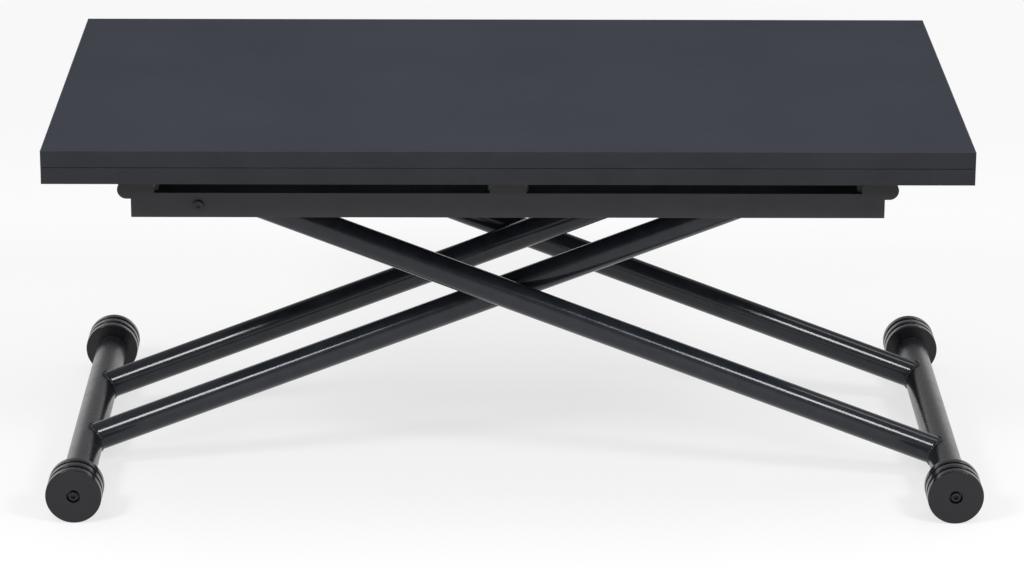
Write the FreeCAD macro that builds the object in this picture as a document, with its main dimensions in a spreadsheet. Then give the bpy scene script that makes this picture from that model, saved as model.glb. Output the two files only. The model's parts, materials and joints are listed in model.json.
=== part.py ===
import FreeCAD, Part
import Sketcher
import os
import re

# Folding table on a scissor underframe that lifts, slides and unfolds.
# Lengths are millimetres. X runs along the table, Y from front to rear, Z up.
# The origin is on the floor, in the middle of the closed, lowered table.

# The driving sizes

TOP_SIZES = {
    "table_height": 431.0,
    "top_length": 1000.0,
    "leaf_depth": 570.0,
    "leaf_thickness": 18.0,
    "leaf_gap": 0.6,
    "edging": 1.0,
    "top_offset": 8.6,
    "bumper_radius": 5.0,
    "bumper_inset": 40.0,
}
HINGE_SIZES = {
    "hinge_inset": 100.0,
    "hinge_length": 60.0,
    "hinge_setback": 0.15,
    "hinge_sheet": 2.0,
    "hinge_leaf_height": 13.0,
    "barrel_radius": 3.0,
    "hinge_pin_radius": 1.5,
    "centre_knuckle": 20.0,
    "knuckle_play": 0.3,
    "barrel_room": 0.5,
    "hinge_screw_radius": 1.6,
    "hinge_screw_length": 16.0,
    "hinge_screw_head_radius": 3.0,
    "hinge_screw_head": 1.2,
    "hinge_screw_spacing": 40.0,
}
RUNNER_SIZES = {
    "runner_width": 40.0,
    "runner_height": 20.0,
    "runner_wall": 1.5,
    "runner_setback": 12.5,
    "runner_inset": 100.0,
    "runner_cap_face": 3.0,
    "runner_cap_plug": 10.0,
    "runner_screw_radius": 2.0,
    "runner_screw_length": 15.0,
    "runner_screw_head_radius": 4.5,
    "runner_screw_head": 3.0,
    "runner_screw_spacing": 185.0,
    "runner_access_radius": 6.0,
    "stop_screw_radius": 3.0,
    "stop_screw_head_radius": 5.5,
    "stop_screw_head": 3.0,
    "stop_screw_play": 0.5,
    "stop_screw_inset": 8.0,
}
SHOE_SIZES = {
    "shoe_floor": 1.1,
    "shoe_wall": 2.0,
    "shoe_play": 0.3,
    "shoe_length": 24.0,
    "shoe_drop": 0.5,
    "shoe_margin": 5.0,
    "peg_radius": 3.0,
    "peg_length": 4.0,
    "buffer_radius": 9.0,
    "buffer_spacing": 400.0,
    "buffer_drop": 0.3,
}
FRAME_SIZES = {
    "rail_past_runner": 8.0,
    "rail_height": 28.0,
    "rail_depth": 36.0,
    "rail_wall": 2.0,
    "frame_inset": 39.0,
    "cross_width": 30.0,
    "cross_wall": 2.0,
    "stop_block": 14.0,
    "stop_gap": 0.5,
}
LEG_SIZES = {
    "foot_span": 972.0,
    "leg_radius": 16.0,
    "leg_wall": 2.0,
    "outer_track": 261.0,
    "leg_side_gap": 8.75,
    "leg_overhang": 8.0,
    "pivot_inset": 64.5,
    "leg_below_pivot": 9.2,
    "sleeve_wall": 5.0,
    "sleeve_length": 40.0,
    "shaft_radius": 9.0,
    "bolt_radius": 3.0,
    "bolt_depth": 22.0,
    "bolt_head_radius": 5.2,
    "bolt_head": 3.0,
    "bolt_socket_radius": 2.2,
    "bolt_socket": 2.0,
    "bolt_washer_radius": 6.0,
    "bolt_washer": 1.2,
    "leg_pin_radius": 6.0,
    "leg_pin_root": 13.0,
    "leg_bush_wall": 4.0,
    "leg_bush_overhang": 1.0,
    "leg_bush_reach": 24.0,
    "leg_bush_floor": 3.0,
    "leg_collar_radius": 10.0,
    "side_play": 0.3,
    "running_play": 0.05,
    "lift_angle": 26.0,
}
FOOT_SIZES = {
    "foot_track": 542.0,
    "wheel_radius": 31.0,
    "wheel_width": 41.0,
    "ridge_width": 10.0,
    "groove_depth": 3.5,
    "ridge_round": 1.2,
    "hub_recess_radius": 7.5,
    "hub_recess": 7.0,
    "foot_bar_radius": 18.0,
    "foot_bar_wall": 2.0,
    "wheel_gap": 0.5,
    "bush_flange": 1.5,
    "bush_length": 20.0,
    "axle_radius": 6.0,
    "axle_play": 0.3,
    "axle_screw_radius": 3.0,
    "axle_screw_length": 15.0,
    "axle_washer_radius": 6.8,
    "axle_washer": 1.2,
    "axle_screw_head_radius": 5.0,
    "axle_screw_head": 5.0,
    "axle_socket_radius": 2.9,
    "axle_socket": 3.0,
}
SLIDER_SIZES = {
    "slider_neck_radius": 5.0,
    "slider_neck_play": 1.5,
    "slider_shoulder": 6.0,
    "guide_roller_play": 0.3,
    "guide_roller_width": 16.0,
    "clamp_length": 30.0,
    "clamp_width": 26.0,
    "clamp_wall": 4.0,
    "strut_radius": 11.0,
    "strut_wall": 2.0,
    "strut_length": 270.0,
    "strut_gland": 8.0,
    "strut_clearance": 3.0,
    "rod_radius": 4.0,
    "piston_length": 12.0,
    "piston_play": 0.3,
    "piston_gap": 6.0,
}
LEVER_SIZES = {
    "bracket_sheet": 6.0,
    "bracket_width": 40.0,
    "bracket_inset": 12.0,
    "bracket_drop": 29.0,
    "head_length": 10.0,
    "head_width": 24.0,
    "ear_thickness": 4.0,
    "ear_length": 12.0,
    "lever_drop": 12.0,
    "lever_reach": 5.6,
    "lever_hub_radius": 5.0,
    "lever_pin_radius": 3.0,
    "lever_play": 0.3,
    "lever_length": 80.0,
    "lever_sheet": 4.0,
    "lever_lean": 25.0,
    "toe_gap": 0.4,
    "toe_length": 6.0,
    "grip_length": 42.0,
    "grip_width": 26.0,
    "grip_height": 9.0,
    "release_pin_radius": 2.0,
    "release_pin_length": 16.0,
    "release_pin_out": 3.6,
}
OTHER_SIZES = {
    "overrun": 1.0,
}

# Sizes that follow from the driving ones

WORKED_OUT = (
    ("half_top", "top_length / 2"),
    ("hinge_spacing", "half_top - hinge_inset"),
    ("runner_spacing", "half_top - runner_inset"),
    ("rail_length", "2 * (runner_spacing + rail_past_runner)"),
    ("top_middle", "0 - top_offset"),
    ("top_forward", "(barrel_radius + hinge_setback) / 2"),
    ("top_rear", "leaf_depth / 2 - top_forward"),
    ("top_front", "0 - leaf_depth / 2 - top_forward"),
    ("upper_leaf_bottom", "table_height - leaf_thickness"),
    ("lower_leaf_top", "upper_leaf_bottom - leaf_gap"),
    ("lower_leaf_bottom", "lower_leaf_top - leaf_thickness"),
    ("hinge_height", "lower_leaf_top + leaf_gap / 2"),
    ("hinge_line", "top_rear + hinge_setback"),
    ("barrel_clear", "barrel_radius + barrel_room"),
    ("hinge_plate_height", "hinge_leaf_height - barrel_clear"),
    ("side_knuckle", "(hinge_length - centre_knuckle) / 2"),
    ("runner_bottom", "lower_leaf_bottom - runner_height"),
    ("runner_middle", "lower_leaf_bottom - runner_height / 2"),
    ("runner_front", "top_front + runner_setback"),
    ("runner_length", "leaf_depth - 2 * runner_setback"),
    ("tube_front", "runner_front + runner_cap_face"),
    ("tube_length", "runner_length - 2 * runner_cap_face"),
    ("rail_top", "runner_bottom - shoe_play - shoe_floor"),
    ("rail_bottom", "rail_top - rail_height"),
    ("rail_middle", "rail_top - rail_height / 2"),
    ("frame_half", "leaf_depth / 2 - frame_inset"),
    ("channel_top", "rail_height - rail_wall"),
    ("cross_end", "frame_half - rail_depth"),
    ("frame_left", "top_middle - rail_length / 2"),
    ("frame_right", "top_middle + rail_length / 2"),
    ("cross_place", "(rail_length - cross_width) / 2"),
    ("shoe_width", "runner_width + 2 * shoe_wall"),
    ("shoe_height", "lower_leaf_bottom - shoe_drop - rail_top"),
    ("rail_seat", "frame_half - rail_depth / 2"),
    ("slide_travel", "top_rear"),
    ("stop_rest", "cross_end - stop_screw_inset"),
    ("stop_slot_radius", "stop_screw_radius + stop_screw_play"),
    ("stop_reach", "stop_rest - slide_travel"),
    ("shoe_back", "shoe_margin + stop_slot_radius + shoe_length / 2"),
    ("middle_shoe", "stop_reach - shoe_back"),
    ("foot_half", "foot_span / 2"),
    ("pivot_half", "rail_length / 2 - pivot_inset"),
    ("pivot_run", "foot_half + pivot_half"),
    ("pivot_rise", "rail_middle - wheel_radius"),
    ("pivot_distance", "sqrt(pivot_run * pivot_run + pivot_rise * pivot_rise)"),
    ("leg_angle", "atan(pivot_rise / pivot_run) - asin(leg_below_pivot / pivot_distance)"),
    ("crossing_height", "wheel_radius + foot_half * tan(leg_angle)"),
    ("leg_reach", "pivot_run * cos(leg_angle) + pivot_rise * sin(leg_angle)"),
    ("leg_length", "leg_reach + leg_overhang"),
    ("inner_track", "outer_track - 2 * (2 * leg_radius + leg_side_gap)"),
    ("sleeve_radius", "shaft_radius + sleeve_wall"),
    ("sleeve_bore", "shaft_radius + running_play"),
    ("shaft_end", "frame_half - rail_wall"),
    ("shaft_length", "2 * shaft_end"),
    ("leg_bush_radius", "leg_pin_radius + leg_bush_wall"),
    ("leg_bush_bore", "leg_pin_radius + running_play"),
    ("leg_bush_outer", "inner_track / 2 + leg_radius + leg_bush_overhang"),
    ("leg_bush_inner", "inner_track / 2 + leg_radius - leg_bush_reach"),
    ("leg_pin_end", "leg_bush_inner + leg_bush_floor + side_play"),
    ("upper_rise", "rail_middle - crossing_height"),
    ("upper_arm", "sqrt(pivot_half * pivot_half + upper_rise * upper_rise)"),
    ("upper_angle", "atan(upper_rise / pivot_half)"),
    ("raised_angle", "upper_angle + lift_angle * 1 deg"),
    ("slider_travel", "2 * (pivot_half - upper_arm * cos(raised_angle))"),
    ("wheel_inner", "foot_track / 2 - wheel_width"),
    ("groove_width", "(wheel_width - 3 * ridge_width) / 2"),
    ("groove_radius", "wheel_radius - groove_depth"),
    ("middle_ridge", "ridge_width + groove_width"),
    ("middle_ridge_end", "middle_ridge + ridge_width"),
    ("outer_ridge", "middle_ridge_end + groove_width"),
    ("hub_end", "wheel_width - hub_recess"),
    ("bar_end", "wheel_inner - wheel_gap - bush_flange"),
    ("bar_bore", "foot_bar_radius - foot_bar_wall"),
    ("axle_bore", "axle_radius + running_play"),
    ("recess_floor", "foot_track / 2 - hub_recess"),
    ("axle_end", "recess_floor + axle_play"),
    ("slider_shoulder_end", "cross_end + slider_shoulder"),
    ("slider_end", "shaft_end - slider_neck_play"),
    ("guide_radius", "rail_height / 2 - rail_wall - guide_roller_play"),
    ("guide_inner", "slider_end - guide_roller_width"),
    ("guide_bore", "slider_neck_radius + running_play"),
    ("strut_height", "rail_bottom - strut_clearance - strut_radius"),
    ("strut_front", "pivot_half + clamp_length / 2 + piston_gap"),
    ("strut_back", "strut_front - strut_length"),
    ("strut_bore", "strut_radius - strut_wall"),
    ("piston_back", "strut_back + strut_wall + piston_gap"),
    ("bracket_back", "frame_right - cross_width + bracket_inset"),
    ("head_back", "bracket_back + bracket_sheet"),
    ("head_front", "head_back + head_length"),
    ("lever_pivot", "head_front + lever_reach"),
    ("lever_height", "strut_height - lever_drop"),
    ("ear_gap", "head_width - 2 * ear_thickness"),
    ("lever_width", "ear_gap - 2 * lever_play"),
    ("release_pin_end", "head_front + release_pin_out"),
    ("toe_face", "release_pin_end + toe_gap"),
    ("toe_height", "lever_drop + overrun"),
    ("lever_tilt", "lever_lean * 1 deg"),
    ("grip_skin", "(grip_height - lever_sheet) / 2"),
)

doc = FreeCAD.newDocument("LiftTopTable")
sheet = doc.addObject("Spreadsheet::Sheet", "Sizes")
ALIASES = set()
NODES = []


def in_sheet(text):
    """Write every size name in a formula as a reference to the sheet."""
    def reference(found):
        word = found.group(0)
        return "Sizes." + word if word in ALIASES else word
    return re.sub(r"[a-z_]+", reference, text)


def write_row(row, name, content):
    """One row of the sheet: the name in words, then its cell with an alias."""
    sheet.set("A%d" % row, name.replace("_", " "))
    sheet.set("B%d" % row, content)
    sheet.setAlias("B%d" % row, name)


def fill_sheet():
    """Driving sizes first, worked out sizes after them."""
    row = 1
    for table in (TOP_SIZES, HINGE_SIZES, RUNNER_SIZES, SHOE_SIZES, FRAME_SIZES,
                  LEG_SIZES, FOOT_SIZES, SLIDER_SIZES, LEVER_SIZES, OTHER_SIZES):
        for name, value in table.items():
            write_row(row, name, str(value))
            ALIASES.add(name)
            row += 1
    for name, formula in WORKED_OUT:
        write_row(row, name, "=" + formula)
        ALIASES.add(name)
        row += 1
    doc.recompute()


def bind(obj, prop, text):
    obj.setExpression(prop, in_sheet(text))


def place(obj, spot):
    for axis, text in zip("xyz", spot):
        bind(obj, "Placement.Base." + axis, text)


# Primitive shapes with every size and place bound to the sheet

X_AXIS = FreeCAD.Vector(1, 0, 0)
Y_AXIS = FreeCAD.Vector(0, 1, 0)
Z_AXIS = FreeCAD.Vector(0, 0, 1)
FIRST_TURN = 45
ALONG = {
    "X": FreeCAD.Rotation(Z_AXIS, X_AXIS),
    "Y": FreeCAD.Rotation(Z_AXIS, Y_AXIS),
    "Z": FreeCAD.Rotation(),
}


def block(size, corner):
    obj = doc.addObject("Part::Box", "Block")
    for prop, text in zip(("Length", "Width", "Height"), size):
        bind(obj, prop, text)
    place(obj, corner)
    return obj


def rod(axis, radius, length, start):
    obj = doc.addObject("Part::Cylinder", "Rod")
    bind(obj, "Radius", radius)
    bind(obj, "Height", length)
    obj.Placement = FreeCAD.Placement(FreeCAD.Vector(), ALONG[axis])
    place(obj, start)
    return obj


def tip(obj, axis, angle):
    """Turn a piece about an axis by an angle bound to the sheet. The first turn only sets the axis."""
    obj.Placement = FreeCAD.Placement(FreeCAD.Vector(), FreeCAD.Rotation(axis, FIRST_TURN))
    bind(obj, "Placement.Rotation.Angle", angle)


def leaning_rod(foot, radius, length, y):
    """A rod from a foot's axle up along its legs."""
    obj = doc.addObject("Part::Cylinder", "LeaningRod")
    bind(obj, "Radius", radius)
    bind(obj, "Height", length)
    tip(obj, Y_AXIS * -foot, "90 deg - leg_angle")
    place(obj, ("%d * foot_half" % foot, y, "wheel_radius"))
    return obj


def fuse(*pieces):
    obj = doc.addObject("Part::MultiFuse", "Joined")
    obj.Shapes = list(pieces)
    return obj


def cut(base, *tools):
    obj = doc.addObject("Part::Cut", "Cut")
    obj.Base = base
    obj.Tool = tools[0] if len(tools) == 1 else fuse(*tools)
    return obj


def group(*pieces):
    obj = doc.addObject("Part::Compound", "Group")
    obj.Links = list(pieces)
    return obj


def node(name, obj):
    obj.Label = name
    NODES.append(obj)
    return obj


def flat_oval(width, height, length, spot):
    """A bar with half-round sides along Y, centred on spot in X and Z."""
    x, y, z = spot
    flat = "(%s) - (%s)" % (width, height)
    core = block((flat, length, height), ("%s - (%s) / 2" % (x, flat), y, "%s - (%s) / 2" % (z, height)))
    ends = [rod("Y", "(%s) / 2" % height, length, ("%s + %d * (%s) / 2" % (x, side, flat), y, z))
            for side in (-1, 1)]
    return fuse(core, *ends)


def slot(radius, low, high, x, z, depth):
    """A round-ended slot along Y, cut down from z."""
    length = "(%s) - (%s)" % (high, low)
    bottom = "%s - (%s)" % (z, depth)
    core = block(("2 * (%s)" % radius, length, depth), ("%s - (%s)" % (x, radius), low, bottom))
    ends = [rod("Z", radius, depth, (x, end, bottom)) for end in (low, high)]
    return fuse(core, *ends)


# A body whose outline has every corner bound to the sheet

def origin_plane(body, role):
    return [plane for plane in body.Origin.OriginFeatures if plane.Role == role][0]


def size_of(name):
    return float(getattr(sheet, name)) if name in ALIASES else 0.0


def outline(body, role, corners):
    """A closed outline on an origin plane. Each coordinate is a size's name, or 0."""
    sketch = body.newObject("Sketcher::SketchObject", "Outline")
    sketch.AttachmentSupport = [(origin_plane(body, role), "")]
    sketch.MapMode = "FlatFace"
    points = [FreeCAD.Vector(size_of(across), size_of(up), 0) for across, up in corners]
    following = [(index + 1) % len(points) for index in range(len(points))]
    for index, nearest in enumerate(following):
        sketch.addGeometry(Part.LineSegment(points[index], points[nearest]), False)
    for index, nearest in enumerate(following):
        sketch.addConstraint(Sketcher.Constraint("Coincident", index, 2, nearest, 1))
    for index, corner in enumerate(corners):
        for kind, name in zip(("DistanceX", "DistanceY"), corner):
            bind_corner(sketch, index, kind, name)
    return sketch


def bind_corner(sketch, index, kind, name):
    """Hold one coordinate of a corner on an axis, or at a size from it."""
    origin_point = (-1, 1)
    if name not in ALIASES:
        axis = -2 if kind == "DistanceX" else -1
        sketch.addConstraint(Sketcher.Constraint("PointOnObject", index, 1, axis))
        return
    number = sketch.addConstraint(
        Sketcher.Constraint(kind, *origin_point, index, 1, size_of(name)))
    bind(sketch, "Constraints[%d]" % number, name)


def profile_body(role, corners):
    body = doc.addObject("PartDesign::Body", "Body")
    return body, outline(body, role, corners)


# Rods and blocks on one side of the table: side -1 is the front, 1 the rear

SIDES = (-1, 1)
THIRDS = (-1, 0, 1)
LOWER, UPPER = (-1, 1)
RIGHT_FOOT, LEFT_FOOT = (1, -1)


def side_rod(side, radius, inner, outer, x, z):
    """A rod along Y between two distances from the middle."""
    start = inner if side > 0 else "0 - (%s)" % outer
    return rod("Y", radius, "(%s) - (%s)" % (outer, inner), (x, start, z))


def side_hexagon(side, radius, inner, outer, x, z):
    """A six-sided rod along Y between two distances from the middle."""
    start = inner if side > 0 else "0 - (%s)" % outer
    obj = doc.addObject("Part::Prism", "Hexagon")
    obj.Polygon = 6
    bind(obj, "Circumradius", radius)
    bind(obj, "Height", "(%s) - (%s)" % (outer, inner))
    obj.Placement = FreeCAD.Placement(FreeCAD.Vector(), ALONG["Y"])
    place(obj, (x, start, z))
    return obj


def side_block(side, length, inner, outer, height, x, z):
    start = inner if side > 0 else "0 - (%s)" % outer
    return block((length, "(%s) - (%s)" % (outer, inner), height), (x, start, z))


# The two leaves of the top, with their edging

def leaf_core(bottom):
    return block(("top_length - 2 * edging", "leaf_depth - 2 * edging", "leaf_thickness"),
                 ("top_middle - half_top + edging", "top_front + edging", bottom))


def leaf_edging(bottom, rear_cuts):
    """Four strips round a leaf. The rear one is let out for the hinges."""
    left = "top_middle - half_top"
    long_strip = ("top_length", "edging", "leaf_thickness")
    short_strip = ("edging", "leaf_depth - 2 * edging", "leaf_thickness")
    front = block(long_strip, (left, "top_front", bottom))
    rear = block(long_strip, (left, "top_rear - edging", bottom))
    sides = [block(short_strip, (x, "top_front + edging", bottom))
             for x in (left, "top_middle + half_top - edging")]
    return group(front, cut(rear, *rear_cuts), *sides)


def hinge_places():
    return ["top_middle + %d * hinge_spacing" % third for third in THIRDS]


def hinge_screw_places(level):
    """X and Z of the two screws of each hinge plate of one leaf."""
    height = "hinge_height + %d * (barrel_clear + hinge_plate_height / 2)" % level
    return [("%s + %d * hinge_screw_spacing / 2" % (x, side), height)
            for x in hinge_places() for side in SIDES]


def hinge_pockets(level):
    """What a leaf loses at its rear edge for one side of the hinges."""
    base = "hinge_height - hinge_leaf_height" if level == LOWER else "hinge_height"
    pockets = []
    for x in hinge_places():
        left = "%s - hinge_length / 2" % x
        pockets.append(block(("hinge_length", "hinge_sheet + overrun", "hinge_leaf_height"),
                             (left, "top_rear - hinge_sheet", base)))
        pockets.append(rod("X", "barrel_clear", "hinge_length + 2 * knuckle_play",
                           (left + " - knuckle_play", "hinge_line", "hinge_height")))
    return pockets


def hinge_screw_holes(level):
    return [rod("Y", "hinge_screw_radius", "hinge_screw_length", (x, "top_rear - hinge_screw_length", z))
            for x, z in hinge_screw_places(level)]


def runner_places():
    return ["top_middle + %d * runner_spacing" % third for third in THIRDS]


def runner_screw_places():
    return [(x, "%d * runner_screw_spacing - top_forward" % third)
            for x in runner_places() for third in THIRDS]


def make_leaves():
    screw_tips = [rod("Z", "runner_screw_radius", "runner_screw_length - runner_wall",
                      (x, y, "lower_leaf_bottom")) for x, y in runner_screw_places()]
    for name, level, more_cuts in (("lower_leaf", LOWER, screw_tips), ("upper_leaf", UPPER, [])):
        cuts = hinge_pockets(level) + hinge_screw_holes(level) + more_cuts
        node(name, cut(leaf_core(name + "_bottom"), *cuts))
        node(name + "_edging", leaf_edging(name + "_bottom", hinge_pockets(level)))
    corners = [("top_middle + %d * (half_top - bumper_inset)" % across, y)
               for across in SIDES for y in ("top_front + bumper_inset", "top_rear - bumper_inset")]
    node("leaf_bumpers", group(*[rod("Z", "bumper_radius", "leaf_gap", (x, y, "lower_leaf_top"))
                                 for x, y in corners]))


# The hinges at the rear edge: the pin is on the line between the leaves

def hinge_plate(x, level):
    """One side of a hinge: a plate let into the edge, with its knuckles round the pin."""
    left = "%s - hinge_length / 2" % x
    if level == LOWER:
        plate_base = "hinge_height - hinge_leaf_height"
        tab_base = plate_base
        length = "side_knuckle - knuckle_play"
        starts = [left, "%s + centre_knuckle / 2 + knuckle_play" % x]
        bore = "hinge_pin_radius"
    else:
        plate_base = "hinge_height + barrel_clear"
        tab_base = "hinge_height"
        length = "centre_knuckle"
        starts = ["%s - centre_knuckle / 2" % x]
        bore = "hinge_pin_radius + running_play"
    face = "top_rear - hinge_sheet"
    pieces = [block(("hinge_length", "hinge_sheet", "hinge_plate_height"), (left, face, plate_base))]
    for start in starts:
        pieces.append(block((length, "hinge_sheet", "hinge_leaf_height"), (start, face, tab_base)))
        pieces.append(rod("X", "barrel_radius", length, (start, "hinge_line", "hinge_height")))
    pin_hole = rod("X", bore, "hinge_length + 2 * overrun",
                   (left + " - overrun", "hinge_line", "hinge_height"))
    return cut(fuse(*pieces), pin_hole, *screw_seats(x, level))


def screw_seats(x, level):
    """Holes and flush seats of the two screws of one hinge plate."""
    seats = []
    for place_x, z in hinge_screw_places(level):
        if place_x.startswith(x + " "):
            seats.append(rod("Y", "hinge_screw_radius", "hinge_sheet + 2 * overrun",
                             (place_x, "top_rear - hinge_sheet - overrun", z)))
            seats.append(rod("Y", "hinge_screw_head_radius", "hinge_screw_head + overrun",
                             (place_x, "top_rear - hinge_screw_head", z)))
    return seats


def hinge_screw(x, z):
    head = rod("Y", "hinge_screw_head_radius", "hinge_screw_head", (x, "top_rear - hinge_screw_head", z))
    shank = rod("Y", "hinge_screw_radius", "hinge_screw_length", (x, "top_rear - hinge_screw_length", z))
    return fuse(head, shank)


def make_hinges():
    for name, level in (("lower", LOWER), ("upper", UPPER)):
        node("hinge_%s_plates" % name, group(*[hinge_plate(x, level) for x in hinge_places()]))
        node("hinge_%s_screws" % name,
             group(*[hinge_screw(x, z) for x, z in hinge_screw_places(level)]))
    pins = [rod("X", "hinge_pin_radius", "hinge_length",
                ("%s - hinge_length / 2" % x, "hinge_line", "hinge_height")) for x in hinge_places()]
    node("hinge_pins", group(*pins))


# The runners: flat-oval tubes under the lower leaf

def runner(x, y_places, extra_holes):
    outer = flat_oval("runner_width", "runner_height", "tube_length", (x, "tube_front", "runner_middle"))
    inner = flat_oval("runner_width - 2 * runner_wall", "runner_height - 2 * runner_wall",
                      "tube_length + 2 * overrun", (x, "tube_front - overrun", "runner_middle"))
    holes = []
    for y in y_places:
        holes.append(rod("Z", "runner_access_radius", "runner_wall + 2 * overrun",
                         (x, y, "runner_bottom - overrun")))
        holes.append(rod("Z", "runner_screw_radius", "runner_wall + 2 * overrun",
                         (x, y, "lower_leaf_bottom - runner_wall - overrun")))
    return cut(outer, inner, *(holes + extra_holes))


def runner_cap(x, side):
    """An end cap: its face shows, its plug fills the tube's bore."""
    face_start = "runner_front"
    plug_start = "tube_front"
    if side > 0:
        face_start = "tube_front + tube_length"
        plug_start = "tube_front + tube_length - runner_cap_plug"
    face = flat_oval("runner_width", "runner_height", "runner_cap_face", (x, face_start, "runner_middle"))
    plug = flat_oval("runner_width - 2 * runner_wall", "runner_height - 2 * runner_wall",
                     "runner_cap_plug", (x, plug_start, "runner_middle"))
    return fuse(face, plug)


def runner_screw(x, y):
    head = rod("Z", "runner_screw_head_radius", "runner_screw_head",
               (x, y, "lower_leaf_bottom - runner_wall - runner_screw_head"))
    shank = rod("Z", "runner_screw_radius", "runner_screw_length",
                (x, y, "lower_leaf_bottom - runner_wall"))
    return fuse(head, shank)


def make_runners():
    stop_hole = rod("Z", "stop_screw_radius", "runner_wall + 2 * overrun",
                    ("top_middle", "stop_rest", "runner_bottom - overrun"))
    for name, x, extra in zip(("left", "centre", "right"), runner_places(), ([], [stop_hole], [])):
        screws = [y for place_x, y in runner_screw_places() if place_x == x]
        node(name + "_runner", runner(x, screws, extra))
    node("runner_end_caps", group(*[runner_cap(x, side) for x in runner_places() for side in SIDES]))
    node("runner_screws", group(*[runner_screw(x, y) for x, y in runner_screw_places()]))
    head_top = "rail_top - cross_wall - overrun"
    shank = rod("Z", "stop_screw_radius", "runner_bottom + runner_wall - (%s)" % head_top,
                ("top_middle", "stop_rest", head_top))
    head = rod("Z", "stop_screw_head_radius", "stop_screw_head",
               ("top_middle", "stop_rest", head_top + " - stop_screw_head"))
    node("runner_stop_screw", fuse(head, shank))


# The frame: two channel rails, three cross tubes and what sits on them

def shoe_seats():
    """X of each shoe, X of its pegs and Y of its middle, front row then middle row."""
    return [("top_middle + %d * runner_spacing" % third, "top_middle + %d * cross_place" % third, y)
            for y in ("0 - rail_seat", "middle_shoe") for third in THIRDS]


def peg_places(peg_x, y):
    return [(peg_x, "%s + %d * shoe_length / 4" % (y, side)) for side in SIDES]


def peg_holes(y):
    """Holes in the top wall of a rail or cross tube for the pegs of one row of shoes."""
    return [rod("Z", "peg_radius", "rail_wall + 2 * overrun", (x, peg_y, "rail_top - rail_wall - overrun"))
            for seat_x, peg_x, seat_y in shoe_seats() if seat_y == y
            for x, peg_y in peg_places(peg_x, y)]


def pad_places():
    return ["top_middle + %d * cross_place" % third for third in THIRDS]


def buffer_places():
    return ["top_middle + %d * buffer_spacing / 2" % side for side in SIDES]


CHANNEL = (("0", "0"), ("rail_depth", "0"), ("rail_depth", "rail_wall"), ("rail_wall", "rail_wall"),
           ("rail_wall", "channel_top"), ("rail_depth", "channel_top"), ("rail_depth", "rail_height"),
           ("0", "rail_height"))


def channel(side):
    """A rail of C section, open towards the table's middle."""
    body, sketch = profile_body("YZ_Plane", CHANNEL)
    pad = body.newObject("PartDesign::Pad", "Length")
    pad.Profile = sketch
    bind(pad, "Length", "rail_length")
    if side > 0:
        body.Placement = FreeCAD.Placement(FreeCAD.Vector(), FreeCAD.Rotation(Z_AXIS, 180))
    place(body, ("frame_right" if side > 0 else "frame_left", "%d * frame_half" % side, "rail_bottom"))
    return body


def make_rails():
    for side in SIDES:
        holes = [side_rod(side, "bolt_radius", "shaft_end - overrun", "frame_half + overrun",
                          "0 - pivot_half", "rail_middle")]
        if side < 0:
            holes += peg_holes("0 - rail_seat")
        else:
            holes += [rod("Z", "peg_radius", "rail_wall + 2 * overrun",
                          (x, "rail_seat", "rail_top - rail_wall - overrun"))
                      for x in pad_places() + buffer_places()]
        name = "rear_rail" if side > 0 else "front_rail"
        node(name, cut(channel(side), *holes))


def cross_tube(x):
    """A box tube between the rails, seen along Y."""
    outer = block(("cross_width", "2 * cross_end", "rail_height"),
                  (x + " - cross_width / 2", "0 - cross_end", "rail_bottom"))
    inner = block(("cross_width - 2 * cross_wall", "2 * cross_end + 2 * overrun",
                   "rail_height - 2 * cross_wall"),
                  (x + " - cross_width / 2 + cross_wall", "0 - cross_end - overrun",
                   "rail_bottom + cross_wall"))
    pegs = [rod("Z", "peg_radius", "cross_wall + 2 * overrun", (peg_x, y, "rail_top - cross_wall - overrun"))
            for peg_x, y in peg_places(x, "middle_shoe")]
    return outer, [inner] + pegs


def make_cross_tubes():
    for name, third in zip(("left", "middle", "right"), THIRDS):
        outer, cuts = cross_tube("top_middle + %d * cross_place" % third)
        if third == 0:
            cuts.append(slot("stop_slot_radius", "stop_reach", "stop_rest", "top_middle",
                             "rail_top + overrun", "cross_wall + 2 * overrun"))
        node(name + "_cross_tube", cut(outer, *cuts))


def guide_shoe(x, peg_x, y):
    """A shoe round the runner, open above, whose lips hold the runner down."""
    start = "%s - shoe_length / 2" % y
    body = block(("shoe_width", "shoe_length", "shoe_height"), (x + " - shoe_width / 2", start, "rail_top"))
    path = flat_oval("runner_width + 2 * shoe_play", "runner_height + 2 * shoe_play",
                     "shoe_length + 2 * overrun", (x, start + " - overrun", "runner_middle"))
    pegs = [rod("Z", "peg_radius", "peg_length", (px, py, "rail_top - peg_length"))
            for px, py in peg_places(peg_x, y)]
    return fuse(cut(body, path), *pegs)


def make_supports():
    node("guide_shoes", group(*[guide_shoe(x, peg_x, y) for x, peg_x, y in shoe_seats()]))
    pads = []
    for x in pad_places():
        plate = block(("cross_width", "shoe_length", "shoe_floor"),
                      (x + " - cross_width / 2", "rail_seat - shoe_length / 2", "rail_top"))
        peg = rod("Z", "peg_radius", "peg_length", (x, "rail_seat", "rail_top - peg_length"))
        pads.append(fuse(plate, peg))
    node("rear_glide_pads", group(*pads))
    buffers = []
    for x in buffer_places():
        post = rod("Z", "buffer_radius", "lower_leaf_bottom - buffer_drop - rail_top",
                   (x, "rail_seat", "rail_top"))
        foot = rod("Z", "peg_radius", "rail_wall", (x, "rail_seat", "rail_top - rail_wall"))
        buffers.append(fuse(post, foot))
    node("leaf_support_buffers", group(*buffers))


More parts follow.
